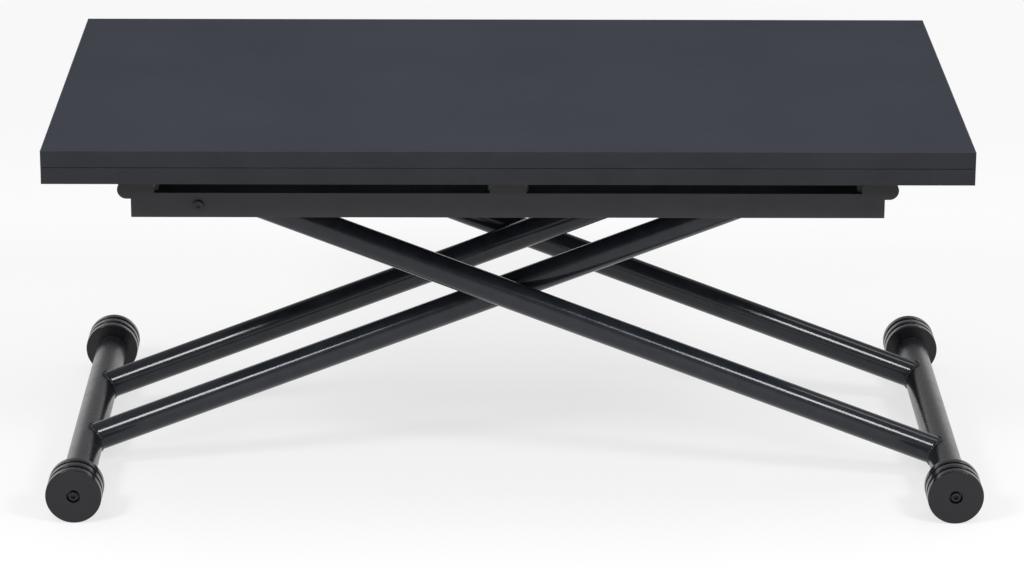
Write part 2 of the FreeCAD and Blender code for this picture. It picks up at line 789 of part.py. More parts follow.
def make_slider_stops():
    low = "pivot_half + guide_radius + stop_gap"
    high = "pivot_half - slider_travel - guide_radius - stop_gap - stop_block"
    stops = [side_block(side, "stop_block", "cross_end + rail_wall", "shaft_end",
                        "rail_height - 2 * rail_wall", x, "rail_bottom + rail_wall")
             for side in SIDES for x in (low, high)]
    node("slider_stops", group(*stops))


# The fixed pivot of the outer legs

def make_pivot_shaft():
    x, z = ("0 - pivot_half", "rail_middle")
    ends = [side_rod(side, "bolt_radius", "shaft_end - bolt_depth", "shaft_end + overrun", x, z)
            for side in SIDES]
    node("pivot_shaft", cut(rod("Y", "shaft_radius", "shaft_length", (x, "0 - shaft_end", z)), *ends))
    bolts = []
    washers = []
    for side in SIDES:
        under_head = "frame_half + bolt_washer"
        top = under_head + " + bolt_head"
        shank = side_rod(side, "bolt_radius", "shaft_end - bolt_depth", under_head, x, z)
        head = side_rod(side, "bolt_head_radius", under_head, top, x, z)
        socket = side_hexagon(side, "bolt_socket_radius", top + " - bolt_socket", top + " + overrun", x, z)
        bolts.append(cut(fuse(shank, head), socket))
        ring = side_rod(side, "bolt_washer_radius", "frame_half", under_head, x, z)
        hole = side_rod(side, "bolt_radius", "frame_half - overrun", under_head + " + overrun", x, z)
        washers.append(cut(ring, hole))
    node("pivot_shaft_bolts", group(*bolts))
    node("pivot_bolt_washers", group(*washers))


# The scissor: the right foot carries the outer legs, the left foot the inner ones

def track_of(foot):
    return "outer_track" if foot == RIGHT_FOOT else "inner_track"


def leg_line(foot, side):
    """Y of one leg's middle."""
    return "%d * %s / 2" % (side, track_of(foot))


def leg(foot, side, cuts):
    """A tube coped onto the foot bar below and round the pivot sleeve above."""
    y = leg_line(foot, side)
    outer = leaning_rod(foot, "leg_radius", "leg_length", y)
    bore = leaning_rod(foot, "leg_radius - leg_wall", "leg_length - leg_wall", y)
    across = "%s - 2 * leg_radius" % y
    bar = rod("Y", "foot_bar_radius", "4 * leg_radius", ("%d * foot_half" % foot, across, "wheel_radius"))
    sleeve = rod("Y", "sleeve_radius", "4 * leg_radius", ("%d * pivot_half" % -foot, across, "rail_middle"))
    return cut(outer, bore, bar, sleeve, *cuts)


def sleeve(foot, side):
    x = "%d * pivot_half" % -foot
    inner = "(%s - sleeve_length) / 2" % track_of(foot)
    outer = "(%s + sleeve_length) / 2" % track_of(foot)
    tube = side_rod(side, "sleeve_radius", inner, outer, x, "rail_middle")
    hole = side_rod(side, "sleeve_bore", inner + " - overrun", outer + " + overrun", x, "rail_middle")
    return cut(tube, hole)


def leg_pin(side):
    """The pivot pin where two legs cross, rooted in the outer leg, with a spacing collar."""
    root = "outer_track / 2 - leg_radius + leg_pin_root"
    pin = side_rod(side, "leg_pin_radius", "leg_pin_end", root, "0", "crossing_height")
    collar = side_rod(side, "leg_collar_radius", "leg_bush_outer + side_play",
                      "outer_track / 2 - leg_radius", "0", "crossing_height")
    return fuse(pin, collar)


def leg_bush(side):
    """A closed bush in the inner leg, open towards the outer one."""
    cup = side_rod(side, "leg_bush_radius", "leg_bush_inner", "leg_bush_outer", "0", "crossing_height")
    bore = side_rod(side, "leg_bush_bore", "leg_bush_inner + leg_bush_floor", "leg_bush_outer + overrun",
                    "0", "crossing_height")
    return cut(cup, bore)


def make_legs():
    for name, side in (("front", -1), ("rear", 1)):
        root = side_rod(side, "leg_pin_radius", "outer_track / 2 - leg_radius - overrun",
                        "outer_track / 2 - leg_radius + leg_pin_root", "0", "crossing_height")
        node("outer_leg_" + name, leg(RIGHT_FOOT, side, [root]))
        eye = side_rod(side, "leg_bush_radius", "leg_bush_inner", "leg_bush_outer", "0", "crossing_height")
        node("inner_leg_" + name, leg(LEFT_FOOT, side, [eye]))
    node("outer_leg_sleeves", group(*[sleeve(RIGHT_FOOT, side) for side in SIDES]))
    node("inner_leg_sleeves", group(*[sleeve(LEFT_FOOT, side) for side in SIDES]))
    node("leg_pivot_pins", group(*[leg_pin(side) for side in SIDES]))
    node("inner_leg_bushes", group(*[leg_bush(side) for side in SIDES]))


# The feet: a bar across the table on an axle, with a roller at each end

def foot_bar(x):
    tube = rod("Y", "foot_bar_radius", "2 * bar_end", (x, "0 - bar_end", "wheel_radius"))
    hole = rod("Y", "bar_bore", "2 * bar_end + 2 * overrun", (x, "0 - bar_end - overrun", "wheel_radius"))
    return cut(tube, hole)


def bar_bush(x, side):
    """A flanged bush in the bar's end, round the axle."""
    plug = side_rod(side, "bar_bore", "bar_end - bush_length", "bar_end", x, "wheel_radius")
    flange = side_rod(side, "foot_bar_radius", "bar_end", "bar_end + bush_flange", x, "wheel_radius")
    hole = side_rod(side, "axle_bore", "bar_end - bush_length - overrun", "bar_end + bush_flange + overrun",
                    x, "wheel_radius")
    return cut(fuse(plug, flange), hole)


def axle(x):
    shaft = rod("Y", "axle_radius", "2 * axle_end", (x, "0 - axle_end", "wheel_radius"))
    holes = [side_rod(side, "axle_screw_radius", "axle_end - axle_screw_length", "axle_end + overrun",
                      x, "wheel_radius") for side in SIDES]
    return cut(shaft, *holes)


def axle_screw(x, side):
    seat = "axle_end + axle_washer"
    top = seat + " + axle_screw_head"
    shank = side_rod(side, "axle_screw_radius", "axle_end - axle_screw_length", "axle_end", x, "wheel_radius")
    washer = side_rod(side, "axle_washer_radius", "axle_end", seat, x, "wheel_radius")
    head = side_rod(side, "axle_screw_head_radius", seat, top, x, "wheel_radius")
    socket = side_hexagon(side, "axle_socket_radius", top + " - axle_socket", top + " + overrun",
                          x, "wheel_radius")
    return cut(fuse(shank, washer, head), socket)


WHEEL = (("axle_bore", "0"), ("wheel_radius", "0"), ("wheel_radius", "ridge_width"),
         ("groove_radius", "ridge_width"), ("groove_radius", "middle_ridge"),
         ("wheel_radius", "middle_ridge"), ("wheel_radius", "middle_ridge_end"),
         ("groove_radius", "middle_ridge_end"), ("groove_radius", "outer_ridge"),
         ("wheel_radius", "outer_ridge"), ("wheel_radius", "wheel_width"),
         ("hub_recess_radius", "wheel_width"), ("hub_recess_radius", "hub_end"), ("axle_bore", "hub_end"))


def rim_edges(shape):
    """Names of the circles on the wheel's full radius."""
    full = size_of("wheel_radius")
    return ["Edge%d" % (index + 1) for index, edge in enumerate(shape.Edges)
            if isinstance(edge.Curve, Part.Circle) and edge.Curve.Radius == full]


def wheel(x, side):
    """A roller of three ridges with a recess in its hub, turned about Y."""
    body, sketch = profile_body("XY_Plane", WHEEL)
    turned = body.newObject("PartDesign::Revolution", "Turned")
    turned.Profile = sketch
    turned.ReferenceAxis = (sketch, ["V_Axis"])
    turned.Angle = 360
    doc.recompute()
    rounded = body.newObject("PartDesign::Fillet", "Rims")
    rounded.Base = (turned, rim_edges(turned.Shape))
    bind(rounded, "Radius", "ridge_round")
    if side < 0:
        body.Placement = FreeCAD.Placement(FreeCAD.Vector(), FreeCAD.Rotation(Z_AXIS, 180))
    place(body, (x, "%d * wheel_inner" % side, "wheel_radius"))
    return body


def make_feet():
    for name, foot in (("right", RIGHT_FOOT), ("left", LEFT_FOOT)):
        x = "%d * foot_half" % foot
        node(name + "_foot_bar", foot_bar(x))
        node(name + "_bar_bushes", group(*[bar_bush(x, side) for side in SIDES]))
        node(name + "_axle", axle(x))
        node(name + "_axle_screws", group(*[axle_screw(x, side) for side in SIDES]))
        for end, side in (("front", -1), ("rear", 1)):
            node("roller_%s_%s" % (name, end), wheel(x, side))


# The slider of the inner legs, which runs in the rails

def make_slider():
    x, z = ("pivot_half", "rail_middle")
    middle = rod("Y", "shaft_radius", "2 * slider_shoulder_end", (x, "0 - slider_shoulder_end", z))
    necks = [side_rod(side, "slider_neck_radius", "slider_shoulder_end", "slider_end", x, z)
             for side in SIDES]
    node("slider_shaft", fuse(middle, *necks))
    for name, side in (("front", -1), ("rear", 1)):
        tyre = side_rod(side, "guide_radius", "guide_inner", "slider_end", x, z)
        hole = side_rod(side, "guide_bore", "guide_inner - overrun", "slider_end + overrun", x, z)
        node("guide_roller_" + name, cut(tyre, hole))
    base = "strut_height - strut_radius - clamp_wall"
    top = "rail_middle + shaft_radius + clamp_wall"
    body = block(("clamp_length", "clamp_width", "%s - (%s)" % (top, base)),
                 ("pivot_half - clamp_length / 2", "0 - clamp_width / 2", base))
    shaft = rod("Y", "shaft_radius", "clamp_width + 2 * overrun", (x, "0 - clamp_width / 2 - overrun", z))
    barrel = rod("X", "strut_radius", "clamp_length + 2 * overrun",
                 ("pivot_half - clamp_length / 2 - overrun", "0", "strut_height"))
    node("strut_clamp", cut(body, shaft, barrel))


# The gas strut: its cylinder goes with the slider, its rod stays with the frame

def make_strut():
    z = "strut_height"
    barrel = rod("X", "strut_radius", "strut_length", ("strut_back", "0", z))
    bore = rod("X", "strut_bore", "strut_length - strut_wall - strut_gland",
               ("strut_back + strut_wall", "0", z))
    gland = rod("X", "rod_radius + running_play", "strut_gland + 2 * overrun",
                ("strut_front - strut_gland - overrun", "0", z))
    node("strut_cylinder", cut(barrel, bore, gland))
    stem = rod("X", "rod_radius", "head_front - piston_back", ("piston_back", "0", z))
    piston = rod("X", "strut_bore - piston_play", "piston_length", ("piston_back", "0", z))
    pin_bore = rod("X", "release_pin_radius + running_play", "release_pin_length + overrun",
                   ("head_front - release_pin_length", "0", z))
    node("strut_rod", cut(fuse(stem, piston), pin_bore))
    node("release_pin", rod("X", "release_pin_radius", "release_pin_length",
                            ("release_pin_end - release_pin_length", "0", z)))
    plate = block(("bracket_sheet", "bracket_width", "bracket_drop"),
                  ("bracket_back", "0 - bracket_width / 2", "rail_bottom - bracket_drop"))
    rod_hole = rod("X", "rod_radius", "bracket_sheet + head_length + 2 * overrun",
                   ("bracket_back - overrun", "0", z))
    node("strut_rod_bracket", cut(plate, rod_hole))


# The release lever under the right end of the top

def lever_arm(name):
    arm = doc.addObject("Part::Box", name)
    for prop, text in zip(("Length", "Width", "Height"), ("lever_length", "lever_width", "lever_sheet")):
        bind(arm, prop, text)
    tip(arm, Y_AXIS * -1, "lever_tilt")
    place(arm, ("lever_pivot", "0 - lever_width / 2", "lever_height"))
    return arm


def make_release_head():
    base = "lever_height - ear_length / 2"
    body = block(("head_length", "head_width", "strut_height + lever_drop - (%s)" % base),
                 ("head_back", "0 - head_width / 2", base))
    rod_hole = rod("X", "rod_radius", "head_length + 2 * overrun",
                   ("head_back - overrun", "0", "strut_height"))
    ears = [side_block(side, "ear_length", "ear_gap / 2", "head_width / 2", "ear_length", "head_front", base)
            for side in SIDES]
    pin = rod("Y", "lever_pin_radius", "head_width", ("lever_pivot", "0 - head_width / 2", "lever_height"))
    node("release_head", fuse(cut(body, rod_hole), pin, *ears))


def make_release_lever():
    start = "0 - lever_width / 2"
    hub = rod("Y", "lever_hub_radius", "lever_width", ("lever_pivot", start, "lever_height"))
    toe = block(("toe_length", "lever_width", "toe_height"), ("toe_face", start, "lever_height"))
    hole = rod("Y", "lever_pin_radius + running_play", "lever_width + 2 * overrun",
               ("lever_pivot", start + " - overrun", "lever_height"))
    node("release_lever", cut(fuse(hub, toe, lever_arm("Arm")), hole))
    grip = doc.addObject("Part::Box", "Grip")
    for prop, text in zip(("Length", "Width", "Height"), ("grip_length", "grip_width", "grip_height")):
        bind(grip, prop, text)
    tip(grip, Y_AXIS * -1, "lever_tilt")
    along = "(lever_length + grip_skin - grip_length)"
    place(grip, ("lever_pivot + %s * cos(lever_tilt) + grip_skin * sin(lever_tilt)" % along,
                 "0 - grip_width / 2",
                 "lever_height + %s * sin(lever_tilt) - grip_skin * cos(lever_tilt)" % along))
    node("release_lever_grip", cut(grip, lever_arm("ArmInGrip")))


def check_and_write():
    """Stop on any failed object, then write one file for each piece."""
    doc.recompute()
    for obj in doc.Objects:
        if "Invalid" in obj.State or "Error" in obj.State:
            raise RuntimeError("%s (%s) failed: %s" % (obj.Name, obj.Label, obj.State))
    os.makedirs("parts", exist_ok=True)
    for obj in NODES:
        shape = obj.Shape
        if shape.isNull() or not shape.isValid() or not shape.Solids:
            raise RuntimeError("%s has no valid solid" % obj.Label)
    for obj in NODES:
        obj.Shape.exportStep("parts/%s.step" % obj.Label)
        print("%-22s %2d solids %12.1f mm3" % (obj.Label, len(obj.Shape.Solids), obj.Shape.Volume))


fill_sheet()
make_leaves()
make_hinges()
make_runners()
make_rails()
make_cross_tubes()
make_supports()
make_slider_stops()
make_pivot_shaft()
make_legs()
make_feet()
make_slider()
make_strut()
make_release_head()
make_release_lever()
check_and_write()
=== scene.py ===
import json
import math

import bmesh
import bpy
from mathutils import Matrix, Vector


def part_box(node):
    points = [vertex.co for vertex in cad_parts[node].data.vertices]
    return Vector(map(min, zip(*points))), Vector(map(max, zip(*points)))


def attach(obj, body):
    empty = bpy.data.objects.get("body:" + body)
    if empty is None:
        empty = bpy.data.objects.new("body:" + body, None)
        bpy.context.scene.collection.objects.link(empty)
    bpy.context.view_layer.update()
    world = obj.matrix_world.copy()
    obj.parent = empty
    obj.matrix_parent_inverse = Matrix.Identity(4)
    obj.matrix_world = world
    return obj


MM = 0.001

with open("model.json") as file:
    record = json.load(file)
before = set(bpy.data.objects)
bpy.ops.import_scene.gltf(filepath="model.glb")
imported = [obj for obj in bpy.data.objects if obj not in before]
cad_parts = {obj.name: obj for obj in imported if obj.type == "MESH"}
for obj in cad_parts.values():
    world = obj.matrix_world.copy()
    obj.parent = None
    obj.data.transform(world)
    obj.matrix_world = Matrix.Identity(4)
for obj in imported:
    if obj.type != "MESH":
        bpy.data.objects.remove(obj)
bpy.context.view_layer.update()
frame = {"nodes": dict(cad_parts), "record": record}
nodes = frame["nodes"]
record = frame["record"]
scene = bpy.context.scene
scene.view_settings.view_transform = "Standard"

# The camera, from a fit of the tabletop's corners and the four rollers

FOCAL_PIXELS = 4141.09
IMAGE_WIDTH = 1024
SENSOR_WIDTH = 36.0
CAMERA_PLACE = Vector((-38.10, -4534.08, 1662.98)) * MM
CAMERA_YAW = math.radians(0.4555)
CAMERA_PITCH = math.radians(18.0135)
CAMERA_ROLL = math.radians(0.2281)
CLIP_NEAR = 0.05
CLIP_FAR = 100.0


def make_camera():
    """A camera without shift, turned by yaw, pitch and roll in that order."""
    data = bpy.data.cameras.new("camera")
    data.sensor_width = SENSOR_WIDTH
    data.lens = FOCAL_PIXELS * SENSOR_WIDTH / IMAGE_WIDTH
    data.clip_start = CLIP_NEAR
    data.clip_end = CLIP_FAR
    camera = bpy.data.objects.new("camera", data)
    scene.collection.objects.link(camera)
    yaw, pitch = CAMERA_YAW, CAMERA_PITCH
    forward = Vector((math.sin(yaw) * math.cos(pitch), math.cos(yaw) * math.cos(pitch),
                      -math.sin(pitch)))
    level = Vector((math.cos(yaw), -math.sin(yaw), 0.0))
    upright = level.cross(forward)
    right = level * math.cos(CAMERA_ROLL) + upright * math.sin(CAMERA_ROLL)
    up = upright * math.cos(CAMERA_ROLL) - level * math.sin(CAMERA_ROLL)
    turn = Matrix((right, up, -forward)).transposed()
    camera.matrix_world = Matrix.Translation(CAMERA_PLACE) @ turn.to_4x4()
    scene.camera = camera


make_camera()

# Helpers for node materials. A reach is the part of a pattern's values that a tone or a
# roughness runs across

TONE_REACH = (0.35, 0.65)
ROUGH_REACH = (0.3, 0.7)
STEEL_REACH = (0.2, 0.7)


def new_material(name):
    material = bpy.data.materials.new(name)
    material.use_nodes = True
    tree = material.node_tree
    tree.nodes.clear()
    output = tree.nodes.new("ShaderNodeOutputMaterial")
    shader = tree.nodes.new("ShaderNodeBsdfPrincipled")
    tree.links.new(shader.outputs["BSDF"], output.inputs["Surface"])
    return material, tree, shader


def object_place(tree, scale=(1.0, 1.0, 1.0)):
    """Object coordinates in metres, stretched by scale."""
    source = tree.nodes.new("ShaderNodeTexCoord")
    mapping = tree.nodes.new("ShaderNodeMapping")
    mapping.inputs["Scale"].default_value = scale
    tree.links.new(source.outputs["Object"], mapping.inputs["Vector"])
    return mapping.outputs["Vector"]


def noise(tree, place, scale, detail, roughness):
    made = tree.nodes.new("ShaderNodeTexNoise")
    made.inputs["Scale"].default_value = scale
    made.inputs["Detail"].default_value = detail
    made.inputs["Roughness"].default_value = roughness
    tree.links.new(place, made.inputs["Vector"])
    return made.outputs["Fac"]


def cells(tree, place, scale):
    """Distance to the nearest point of an even scatter, which makes rounded patches."""
    made = tree.nodes.new("ShaderNodeTexVoronoi")
    made.inputs["Scale"].default_value = scale
    tree.links.new(place, made.inputs["Vector"])
    return made.outputs["Distance"]


def spread(tree, value, low, high, new_low, new_high):
    """Carry a value from one range to another, held at both ends."""
    made = tree.nodes.new("ShaderNodeMapRange")
    made.inputs["From Min"].default_value = low
    made.inputs["From Max"].default_value = high
    made.inputs["To Min"].default_value = new_low
    made.inputs["To Max"].default_value = new_high
    tree.links.new(value, made.inputs["Value"])
    return made.outputs["Result"]


def combine(tree, operation, first, second):
    """A Math node on two values, each a number or the output of a node."""
    made = tree.nodes.new("ShaderNodeMath")
    made.operation = operation
    for socket, value in zip(made.inputs, (first, second)):
        if isinstance(value, float):
            socket.default_value = value
        else:
            tree.links.new(value, socket)
    return made.outputs["Value"]


def weigh(tree, first, second, share):
    """A mean of two values, of which the first has the given share."""
    first_part = combine(tree, "MULTIPLY", first, share)
    second_part = combine(tree, "MULTIPLY", second, 1.0 - share)
    return combine(tree, "ADD", first_part, second_part)


def shade(color, factor):
    return tuple(part * factor for part in color)


def tint(tree, shader, value, color, contrast, reach=TONE_REACH):
    """Run the base colour from darker to lighter than color as value crosses its reach."""
    ramp = tree.nodes.new("ShaderNodeValToRGB")
    ramp.color_ramp.elements[0].color = (*shade(color, 1.0 - contrast), 1.0)
    ramp.color_ramp.elements[1].color = (*shade(color, 1.0 + contrast), 1.0)
    tree.links.new(spread(tree, value, *reach, 0.0, 1.0), ramp.inputs["Fac"])
    tree.links.new(ramp.outputs["Color"], shader.inputs["Base Color"])


def roughen(tree, shader, value, first, last, reach=ROUGH_REACH):
    """Run the roughness from first to last as value crosses its reach."""
    tree.links.new(spread(tree, value, *reach, first, last), shader.inputs["Roughness"])


def bump(tree, shader, height, distance, strength):
    made = tree.nodes.new("ShaderNodeBump")
    made.inputs["Distance"].default_value = distance
    made.inputs["Strength"].default_value = strength
    tree.links.new(height, made.inputs["Height"])
    tree.links.new(made.outputs["Normal"], shader.inputs["Normal"])


# The finishes, which one or more slots of the record use


def laminate(name, color):
    """Satin melamine: a fine lengthwise grain, small pores and a soft cloudy tone."""
    material, tree, shader = new_material(name)
    lengthwise = object_place(tree, (0.06, 1.0, 1.0))
    plain = object_place(tree)
    grain = noise(tree, lengthwise, scale=900.0, detail=5.0, roughness=0.6)
    cloud = noise(tree, plain, scale=5.0, detail=3.0, roughness=0.5)
    pores = noise(tree, plain, scale=2600.0, detail=2.0, roughness=0.5)
    fine = weigh(tree, grain, pores, share=0.6)
    mixed = weigh(tree, fine, cloud, share=0.7)
    tint(tree, shader, mixed, color, contrast=0.12)
    roughen(tree, shader, mixed, first=0.58, last=0.48)
    shader.inputs["Specular IOR Level"].default_value = 0.05
    bump(tree, shader, fine, distance=0.0001, strength=0.4)
    return material


def edging(name, color):
    """Plastic edge band: fine drawn lines along it and a faint cloudy tone."""
    material, tree, shader = new_material(name)
    drawn = object_place(tree, (0.04, 0.04, 1.0))
    lines = noise(tree, drawn, scale=2500.0, detail=3.0, roughness=0.6)
    cloud = noise(tree, object_place(tree), scale=30.0, detail=3.0, roughness=0.5)
    mixed = weigh(tree, lines, cloud, share=0.6)
    tint(tree, shader, mixed, color, contrast=0.15)
    roughen(tree, shader, mixed, first=0.5, last=0.4)
    shader.inputs["Specular IOR Level"].default_value = 0.18
    bump(tree, shader, mixed, distance=0.00008, strength=0.5)
    return material


def gloss_paint(name, color, tone=1.0, rough=0.12, shine=0.33, mottle=0.18, peel_depth=0.12):
    """Gloss black lacquer over steel tube, with a faint orange peel. The tone factor makes the
    base colour lighter all over: painted fill light that lifts the shaded parts.
    """
    material, tree, shader = new_material(name)
    plain = object_place(tree)
    peel = noise(tree, plain, scale=260.0, detail=2.0, roughness=0.4)
    dust = noise(tree, plain, scale=60.0, detail=5.0, roughness=0.6)
    tint(tree, shader, dust, shade(color, tone), contrast=mottle)
    roughen(tree, shader, dust, first=rough * 0.85, last=rough * 1.15)
    shader.inputs["Specular IOR Level"].default_value = shine
    bump(tree, shader, peel, distance=0.0002, strength=peel_depth)
    return material


def powder(name, color, rough=0.48):
    """Satin powder coat: a fine pebbled skin."""
    material, tree, shader = new_material(name)
    plain = object_place(tree)
    pebble = noise(tree, plain, scale=1500.0, detail=3.0, roughness=0.5)
    cloud = noise(tree, plain, scale=40.0, detail=4.0, roughness=0.6)
    mixed = weigh(tree, pebble, cloud, share=0.6)
    tint(tree, shader, mixed, color, contrast=0.15)
    roughen(tree, shader, mixed, first=rough + 0.05, last=rough - 0.05)
    shader.inputs["Specular IOR Level"].default_value = 0.3
    bump(tree, shader, pebble, distance=0.0001, strength=0.5)
    return material


def steel(name, color, rough, contrast=0.18):
    """Bright metal: plated patches of slightly different shine and fine turning marks."""
    material, tree, shader = new_material(name)
    patches = cells(tree, object_place(tree), scale=260.0)
    turned = object_place(tree, (1.0, 0.1, 1.0))
    marks = noise(tree, turned, scale=3200.0, detail=3.0, roughness=0.6)
    mixed = weigh(tree, patches, marks, share=0.5)
    tint(tree, shader, mixed, color, contrast, STEEL_REACH)
    roughen(tree, shader, mixed, rough * 1.25, rough * 0.8, STEEL_REACH)
    shader.inputs["Metallic"].default_value = 1.0
    bump(tree, shader, marks, distance=0.00005, strength=0.15)
    return material


def plastic(name, color, rough, grain_scale=1800.0, depth=0.0001, see_in=0.0, shine=0.3):
    """Moulded plastic: a fine spark-eroded grain and a soft variation of tone. Light goes a
    little way into a pale one, by see_in."""
    material, tree, shader = new_material(name)
    plain = object_place(tree)
    grain = noise(tree, plain, scale=grain_scale, detail=3.0, roughness=0.55)
    cloud = noise(tree, plain, scale=35.0, detail=4.0, roughness=0.6)
    mixed = weigh(tree, grain, cloud, share=0.45)
    tint(tree, shader, mixed, color, contrast=0.15)
    roughen(tree, shader, mixed, first=rough + 0.06, last=rough - 0.06)
    if see_in:
        shader.inputs["Subsurface Weight"].default_value = see_in
        shader.inputs["Subsurface Radius"].default_value = (0.002, 0.002, 0.002)
        shader.inputs["Subsurface Scale"].default_value = 1.0
    shader.inputs["Specular IOR Level"].default_value = shine
    bump(tree, shader, grain, distance=depth, strength=0.5)
    return material


# Which finish each slot of the record has, with what differs from the finish's own settings

FINISHES = {
    "leaf_laminate": (laminate, {}),
    "leaf_edge": (edging, {}),
    # leg_paint's tone of 1.5 is painted fill light: the legs' colour is made lighter so that their
    # shade under the top is lifted
    "leg_paint": (gloss_paint, {"tone": 1.5, "rough": 0.16, "shine": 0.34, "mottle": 0.15,
                                "peel_depth": 0.05}),
    "foot_paint": (gloss_paint, {"rough": 0.26, "shine": 0.5, "mottle": 0.08,
                                 "peel_depth": 0.02}),
    "frame_paint": (powder, {}),
    "runner_paint": (powder, {"rough": 0.28}),
    "bright_steel": (steel, {"rough": 0.28, "contrast": 0.07}),
    "dark_bolt": (steel, {"rough": 0.38}),
    "strut_body": (gloss_paint, {}),
    "strut_chrome": (steel, {"rough": 0.08, "contrast": 0.05}),
    "pale_nylon": (plastic, {"rough": 0.45, "see_in": 0.2}),
    "dark_nylon": (plastic, {"rough": 0.42}),
    "roller_plastic": (plastic, {"rough": 0.2, "grain_scale": 900.0, "depth": 0.00005,
                                 "shine": 0.38}),
    "soft_rubber": (plastic, {"rough": 0.75, "grain_scale": 1200.0, "depth": 0.0002}),
}


def make_materials():
    made = {}
    for entry in record["materials"]:
        slot = entry["slot"]
        finish, settings = FINISHES[slot]
        made[slot] = finish(slot, tuple(entry["base_color"]), **settings)
    return made


MATERIALS = make_materials()
NODE_SLOTS = {entry["node"]: entry["material_slot"] for entry in record["subparts"]}

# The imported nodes. Round tubes keep their sharp cut ends, and the rest have their edges rounded

TUBES = ("outer_leg_front", "outer_leg_rear", "inner_leg_front", "inner_leg_rear",
         "outer_leg_sleeves", "inner_leg_sleeves", "left_foot_bar", "right_foot_bar",
         "strut_cylinder", "strut_rod")
EDGE_ROUND = 0.3 * MM
EDGE_ROUNDS = {
    "upper_leaf_edging": 0.5 * MM,
    "lower_leaf_edging": 0.5 * MM,
    "front_rail": 0.8 * MM,
    "rear_rail": 0.8 * MM,
}
EDGE_SEGMENTS = 2
EDGE_ANGLE = math.radians(40.0)
WELD_DISTANCE = 0.02 * MM


def finish_nodes():
    """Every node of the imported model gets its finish, and all but the tubes rounded edges."""
    for name, obj in nodes.items():
        obj.data.materials.clear()
        obj.data.materials.append(MATERIALS[NODE_SLOTS[name]])
        if name in TUBES:
            continue
        weld = obj.modifiers.new("weld", "WELD")
        weld.merge_threshold = WELD_DISTANCE
        edge = obj.modifiers.new("edge", "BEVEL")
        edge.width = EDGE_ROUNDS.get(name, EDGE_ROUND)
        edge.segments = EDGE_SEGMENTS
        edge.limit_method = "ANGLE"
        edge.angle_limit = EDGE_ANGLE
        edge.harden_normals = True
        edge.use_clamp_overlap = True


finish_nodes()

# Weld beads, each a rippled rope of metal laid along the seam between two pieces

BEAD_SIDES = 10
BEAD_RIPPLE = 0.14
BEAD_PITCH = 2.8 * MM
# An open bead starts at this share of its size, and is full after about this many rings
BEAD_TIP = 0.35
BEAD_TAPER = 3


def lay_bead(shape, path, centre, radius, closed):
    """Sweep a rippled circle along a path. The first axis of each ring points away from centre."""
    count = len(path)
    rings = []
    travelled = 0.0
    for index, point in enumerate(path):
        before = path[index - 1] if closed or index > 0 else point
        after = path[(index + 1) % count] if closed or index < count - 1 else point
        along = (after - before).normalized()
        away = point - centre
        away = (away - along * away.dot(along)).normalized()
        across = along.cross(away)
        size = radius * (1.0 + BEAD_RIPPLE * math.cos(math.tau * travelled / BEAD_PITCH))
        if not closed:
            from_end = min(index, count - 1 - index)
            size *= min(1.0, BEAD_TIP + from_end / BEAD_TAPER)
        ring = []
        for step in range(BEAD_SIDES):
            turn = math.tau * step / BEAD_SIDES
            outward = away * math.cos(turn) + across * math.sin(turn)
            ring.append(shape.verts.new(point + outward * size))
        rings.append(ring)
        travelled += (after - point).length
    for index in range(count if closed else count - 1):
        ring, following = rings[index], rings[(index + 1) % count]
        for step in range(BEAD_SIDES):
            turned = (step + 1) % BEAD_SIDES
            shape.faces.new((ring[step], ring[turned], following[turned], following[step]))
    if not closed:
        shape.faces.new(tuple(reversed(rings[0])))
        shape.faces.new(tuple(rings[-1]))


def bead_piece(name, beads, radius, closed, body, slot_name):
    """One piece holding several beads: each is a path and a centre."""
    shape = bmesh.new()
    for path, centre in beads:
        lay_bead(shape, path, centre, radius, closed)
    bmesh.ops.recalc_face_normals(shape, faces=shape.faces)
    mesh = bpy.data.meshes.new(name)
    shape.to_mesh(mesh)
    shape.free()
    obj = bpy.data.objects.new(name, mesh)
    scene.collection.objects.link(obj)
    mesh.materials.append(MATERIALS[slot_name])
    for face in mesh.polygons:
        face.use_smooth = True
    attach(obj, body)


SEAM_STEPS = 150
FOOT_BEAD = 1.9 * MM
SLEEVE_BEAD = 1.5 * MM
SLEEVE_SEAM_START = math.radians(-60.0)
FRAME_BEAD = 1.6 * MM
FRAME_BEAD_STEPS = 16
ACROSS = Vector((0.0, 1.0, 0.0))


def middle_of(name):
    low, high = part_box(name)
    return (low + high) / 2


def half_size(name, axis):
    low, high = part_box(name)
    return (high[axis] - low[axis]) / 2


def seam_on_bar(foot, along, upright, leg_radius, bar_radius):
    """Where a leg's tube meets the foot bar: a saddle-shaped ring."""
    path = []
    for step in range(SEAM_STEPS):
        turn = math.tau * step / SEAM_STEPS
        lift = leg_radius * math.cos(turn)
        reach = math.sqrt(bar_radius ** 2 - lift ** 2)
        path.append(foot + along * reach + upright * lift + ACROSS * leg_radius * math.sin(turn))
    return path, foot + along * bar_radius


def seam_on_sleeve(pivot, along, upright, offset, leg_radius, sleeve_radius):
    """Where a leg's tube wraps its sleeve: round one side, over the top and round the other."""
    last = -math.pi - math.asin((leg_radius - offset) / sleeve_radius)
    one_side = []
    other_side = []
    for step in range(SEAM_STEPS):
        turn = SLEEVE_SEAM_START + (last - SLEEVE_SEAM_START) * step / SEAM_STEPS
        lift = offset + sleeve_radius * math.sin(turn)
        width = math.sqrt(leg_radius ** 2 - lift ** 2)
        spot = pivot + (along * math.cos(turn) + upright * math.sin(turn)) * sleeve_radius
        one_side.append(spot + ACROSS * width)
        other_side.append(spot - ACROSS * width)
    return one_side + other_side[::-1], pivot


